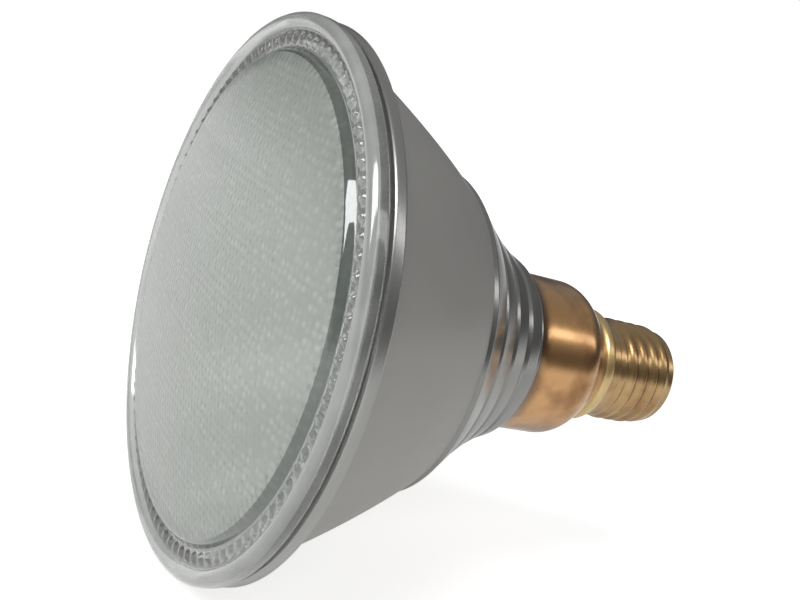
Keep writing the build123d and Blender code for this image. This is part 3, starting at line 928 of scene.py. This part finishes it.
def thread_tree(values, material, bead_material):
    """Rolls a round right-hand thread into the shell's sheet, run out smoothly at both ends."""
    tree, given = node_group("rolled_thread", dict.fromkeys(values, "NodeSocketFloat"))
    across, angle, place = polar(tree)
    run = calc(tree, "SUBTRACT", place, given["Start"])
    left = calc(tree, "SUBTRACT", given["Stop"], place)
    swept = calc(tree, "MULTIPLY", calc(tree, "DIVIDE", run, given["Pitch"]), 2 * pi)
    wave = calc(tree, "COSINE", calc(tree, "SUBTRACT", swept, angle))
    height = calc(tree, "MULTIPLY", ranged(tree, wave, -1.0, 1.0), given["Depth"])
    fade = ranged(tree, calc(tree, "MINIMUM", run, left), 0.0, given["Pitch"], way="SMOOTHSTEP")
    lift = calc(tree, "MULTIPLY", height, fade)
    outward = parts(tree, vector_calc(tree, "NORMALIZE", across))
    flat = joined(tree, X=outward["X"], Z=outward["Y"])
    shift = scaled(tree, flat, lift)
    inputs = {"Geometry": given["Geometry"], "Offset": shift}
    threaded = add(tree, "GeometryNodeSetPosition", inputs).outputs[0]
    real = add(tree, "GeometryNodeRealizeInstances", {"Geometry": threaded}).outputs[0]
    shell = add(tree, "GeometryNodeSetMaterial", {"Geometry": real, "Material": material}).outputs[0]
    ahead = calc(tree, "LESS_THAN", place, given["Bead end"])
    inputs = {"Geometry": shell, "Selection": ahead, "Material": bead_material}
    add(tree, "NodeGroupOutput", {0: add(tree, "GeometryNodeSetMaterial", inputs).outputs[0]})
    return tree


def make_shell(cap, material, bead_material):
    """Shell with a lip folded over the skirt's flange, a bead, a land, a thread and a closed-in end."""
    sheet = cap.shell_sheet
    flange = cap.skirt_place + cap.straight + cap.shoulder_length
    bead = flange + cap.clinch_clear
    lip = flange - cap.skirt_sheet - cap.clinch_clear
    land = bead + cap.bead_length
    start = land + cap.land
    stop = start + cap.thread_run
    end = stop + cap.end_length
    crown = cap.bead_radius - cap.bead_round
    tube_in = cap.tube_radius - sheet
    clinch = cap.clinch_radius + cap.clinch_lip
    slope = start - cap.slope
    places = [start + cap.thread_run * i / THREAD_ROWS for i in range(THREAD_ROWS + 1)]
    tube = [(cap.thread_root, place) for place in places]
    outside = [(cap.tube_radius, bead)]
    outside += rounded((crown, bead), (crown, land), (cap.bead_round, 0))
    plain = [outside[-1], (cap.tube_radius, land), (cap.tube_radius, slope), tube[0]]
    outside += eased(plain, SHELL_EASES)[1:]
    outside += tube[1:]
    closing = [tube[-1], (cap.thread_root, stop + cap.end_lead), (cap.end_radius, end)]
    outside += eased(closing, [SHELL_END_EASE])[1:]
    inside = [(cap.end_radius - cap.end_inside, end - sheet)]
    inside += [(cap.thread_root - sheet, place) for place in reversed(places)]
    inside += [(tube_in, slope), (tube_in, lip - sheet), (clinch, lip - sheet), (clinch, lip)]
    inside += [(cap.tube_radius, lip), outside[0]]
    piece = lathe("threaded_shell", [outside + inside], SHELL_STEPS, [material])
    values = {
        "Pitch": cap.thread_pitch,
        "Depth": cap.thread_depth,
        "Bead end": land - TIP,
        "Start": start - TIP,
        "Stop": stop - TIP,
    }
    apply_nodes(piece, thread_tree(values, material, bead_material), values)
    seat(piece, "screw_shell")


class BULB_OT_cap(bpy.types.Operator):
    """Brass skirt and screw shell, black glass insulator, centre contact and solder"""

    bl_idname = "bulb.cap"
    bl_label = "Screw cap"

    def execute(self, context):
        cap = context.scene.bulb.cap
        colors = context.scene.bulb.finish
        mouth = cap.skirt_place - TIP
        skirt_brass = rolled_brass("drawn_brass_skirt", colors.skirt_brass, colors.tarnish, 0.2, mouth)
        shell_brass = rolled_brass("rolled_brass_shell", colors.shell_brass, colors.tarnish, 0.22)
        # The bead's paler brass is a painted highlight
        bead_brass_highlight = rolled_brass("clinched_brass_bead_painted_highlight", colors.bead_brass_highlight, colors.shell_brass, 0.3)
        make_skirt(cap, skirt_brass)
        make_shell(cap, shell_brass, bead_brass_highlight)
        solder = plain_finish("tin_solder", "8B8B88", "B0B0AC", 0.8 * mm, 1.0, 0.4, 0.06 * mm)
        glass = plain_finish("black_insulator_glass", "0B0B0D", "17171A", 2 * mm, 0.0, 0.12, 0.02 * mm)
        paint("cap_insulator", glass)
        paint("centre_contact", skirt_brass)
        paint("contact_solder", solder)
        paint("side_solder", solder)
        return {"FINISHED"}


def sight(view):
    """The camera's right, down and ahead ways and its place, from how the rim's front circle shows."""
    axis = Vector((sin(view.yaw) * cos(view.tilt), sin(view.yaw) * sin(view.tilt), cos(view.yaw)))
    slant = sqrt(axis.x**2 + axis.y**2)
    roll = asin(axis.z * tan(view.elevation) / slant) + atan2(axis.y, axis.x)
    up = Vector((sin(roll) * cos(view.elevation), -cos(roll) * cos(view.elevation), -sin(view.elevation)))
    turned = Matrix((axis.cross(up), axis, up))
    right, down, ahead = (turned.col[i] for i in range(3))
    pixels = view.focal / SENSOR * PICTURE[0]
    across = (view.middle_x - PICTURE[0] / 2) / pixels
    below = (view.middle_y - PICTURE[1] / 2) / pixels
    middle = Vector((across, below, 1.0)) * view.distance
    return right, down, ahead, Vector((0, -TIP, 0)) - turned @ middle


def make_camera(scene, view):
    """Camera that sees the lamp as the view says."""
    right, down, ahead, eye = sight(view)
    data = bpy.data.cameras.new("camera")
    data.lens = view.focal
    data.sensor_width = SENSOR
    data.clip_start = 0.01
    camera = placed("camera", data)
    camera.matrix_world = Matrix.Translation(eye) @ Matrix((right, -down, -ahead)).transposed().to_4x4()
    scene.camera = camera


def seen(tree):
    """Socket that is 1 for what is seen directly, in a mirror or through glass, and 0 for other light."""
    path = add(tree, "ShaderNodeLightPath").outputs
    mirrored = calc(tree, "MAXIMUM", path["Is Camera Ray"], path["Is Glossy Ray"])
    return calc(tree, "MAXIMUM", mirrored, path["Is Transmission Ray"])


def add_sheet(name, corners, faces, material):
    """A flat-sided part of the stage."""
    mesh = bpy.data.meshes.new(name)
    mesh.from_pydata(corners, [], faces)
    material.cycles.emission_sampling = "NONE"
    mesh.materials.append(material)
    sheet = placed(name, mesh)
    return sheet


def square(half, height):
    """Corners of a level square about the origin."""
    return [(-half, -half, height), (half, -half, height), (half, half, height), (-half, half, height)]


def make_floor(view):
    """Wide white floor that keeps the lamp's shadow, and whose glow as mirrors see it is lower by the lamp, a
    painted shade under it.
    """
    made, tree, where = shaded("white_floor")
    camera = add(tree, "ShaderNodeLightPath").outputs["Is Camera Ray"]
    near = ranged(tree, camera, 0.0, 1.0, *FLOOR_NEAR_SHADE)
    far = ranged(tree, camera, 0.0, 1.0, *FLOOR_FAR)
    level = ranged(tree, measure(tree, "LENGTH", where), *FLOOR_FADE, near, far, "SMOOTHSTEP")
    glow = calc(tree, "MULTIPLY", seen(tree), level)
    shine = add(tree, "ShaderNodeEmission", {"Color": (*WHITE, 1.0), "Strength": glow})
    paper = add(tree, "ShaderNodeBsdfDiffuse", {"Color": (*hex_color("EDEDEC"), 1.0)})
    finish(tree, add(tree, "ShaderNodeAddShader", {0: shine.outputs[0], 1: paper.outputs[0]}))
    low = cad_box[0].z - view.floor_gap
    add_sheet("floor", square(view.floor_half, low), [(0, 1, 2, 3)], made)


def make_walls(view):
    """Walls that darken from the white floor, and a grey ceiling, which only glass and metal show."""
    made, tree, where = shaded("grey_studio_walls")
    height = parts(tree, where)["Z"]
    low = cad_box[0].z
    share = ranged(tree, height, low, view.room_top)
    shades = ramp(tree, share, *[(stop, dimmed(WHITE, grey)) for stop, grey in WALL_SHADES])
    finish(tree, add(tree, "ShaderNodeEmission", {"Color": shades}))
    corners = square(view.room_half, low) + square(view.room_half, view.room_top)
    sides = [(i, (i + 1) % 4, (i + 1) % 4 + 4, i + 4) for i in range(4)]
    walls = add_sheet("walls", corners, sides + [(4, 5, 6, 7)], made)
    walls.visible_camera = False
    walls.visible_diffuse = False
    walls.visible_shadow = False


def make_world(scene):
    """White surroundings, with a softer light on dull surfaces."""
    world = bpy.data.worlds.new("studio")
    world.use_nodes = True
    world.cycles.sampling_method = "NONE"
    tree = world.node_tree
    tree.nodes.clear()
    level = ranged(tree, seen(tree), low=0.3, high=1.0)
    sky = add(tree, "ShaderNodeBackground", {"Color": (*WHITE, 1.0), "Strength": level})
    add(tree, "ShaderNodeOutputWorld", {"Surface": sky.outputs[0]})
    scene.world = world


def make_light(box):
    """A softbox that faces the lamp."""
    data = bpy.data.lights.new(box.name, "AREA")
    data.shape = "RECTANGLE"
    data.size, data.size_y = box.size
    data.energy = box.power
    light = placed(box.name, data)
    back = Vector(box.toward).normalized()
    upright = back.cross(Vector(box.along)).normalized()
    turned = Matrix((upright.cross(back), upright, back)).transposed().to_4x4()
    light.matrix_world = Matrix.Translation(AIM + back * box.distance) @ turned
    light.visible_camera = False


class BULB_OT_stage(bpy.types.Operator):
    """Pale floor, soft studio light and the camera"""

    bl_idname = "bulb.stage"
    bl_label = "Stage, light and camera"

    def execute(self, context):
        view = context.scene.bulb.view
        scene = context.scene
        scene.view_settings.view_transform = "Standard"
        make_camera(scene, view)
        make_floor(view)
        make_walls(view)
        make_world(scene)
        for box in SOFTBOXES:
            make_light(box)
        return {"FINISHED"}


class BULB_PT_sidebar(bpy.types.Panel):
    """Lists the lamp's pieces and the stage"""

    bl_label = "Spotlight bulb"
    bl_space_type = "VIEW_3D"
    bl_region_type = "UI"
    bl_category = "Spotlight"

    def draw(self, context):
        for operator in operators:
            self.layout.operator(operator.bl_idname)


groups = (LensSizes, BowlSizes, CapSizes, Finishes, ViewSettings, BulbSettings)
operators = (BULB_OT_lens, BULB_OT_bowl, BULB_OT_burner, BULB_OT_cap, BULB_OT_stage)


def register():
    """Makes the settings, the operators and the panel known, and hangs the settings on the scene."""
    for kind in (*groups, *operators, BULB_PT_sidebar):
        bpy.utils.register_class(kind)
    bpy.types.Scene.bulb = PointerProperty(type=BulbSettings)


def unregister():
    """Takes them away again."""
    del bpy.types.Scene.bulb
    for kind in reversed((*groups, *operators, BULB_PT_sidebar)):
        bpy.utils.unregister_class(kind)


def main():
    """Builds the lamp and the stage."""
    register()
    bpy.ops.bulb.lens()
    bpy.ops.bulb.bowl()
    bpy.ops.bulb.burner()
    bpy.ops.bulb.cap()
    bpy.ops.bulb.stage()


if __name__ == "__main__":
    main()
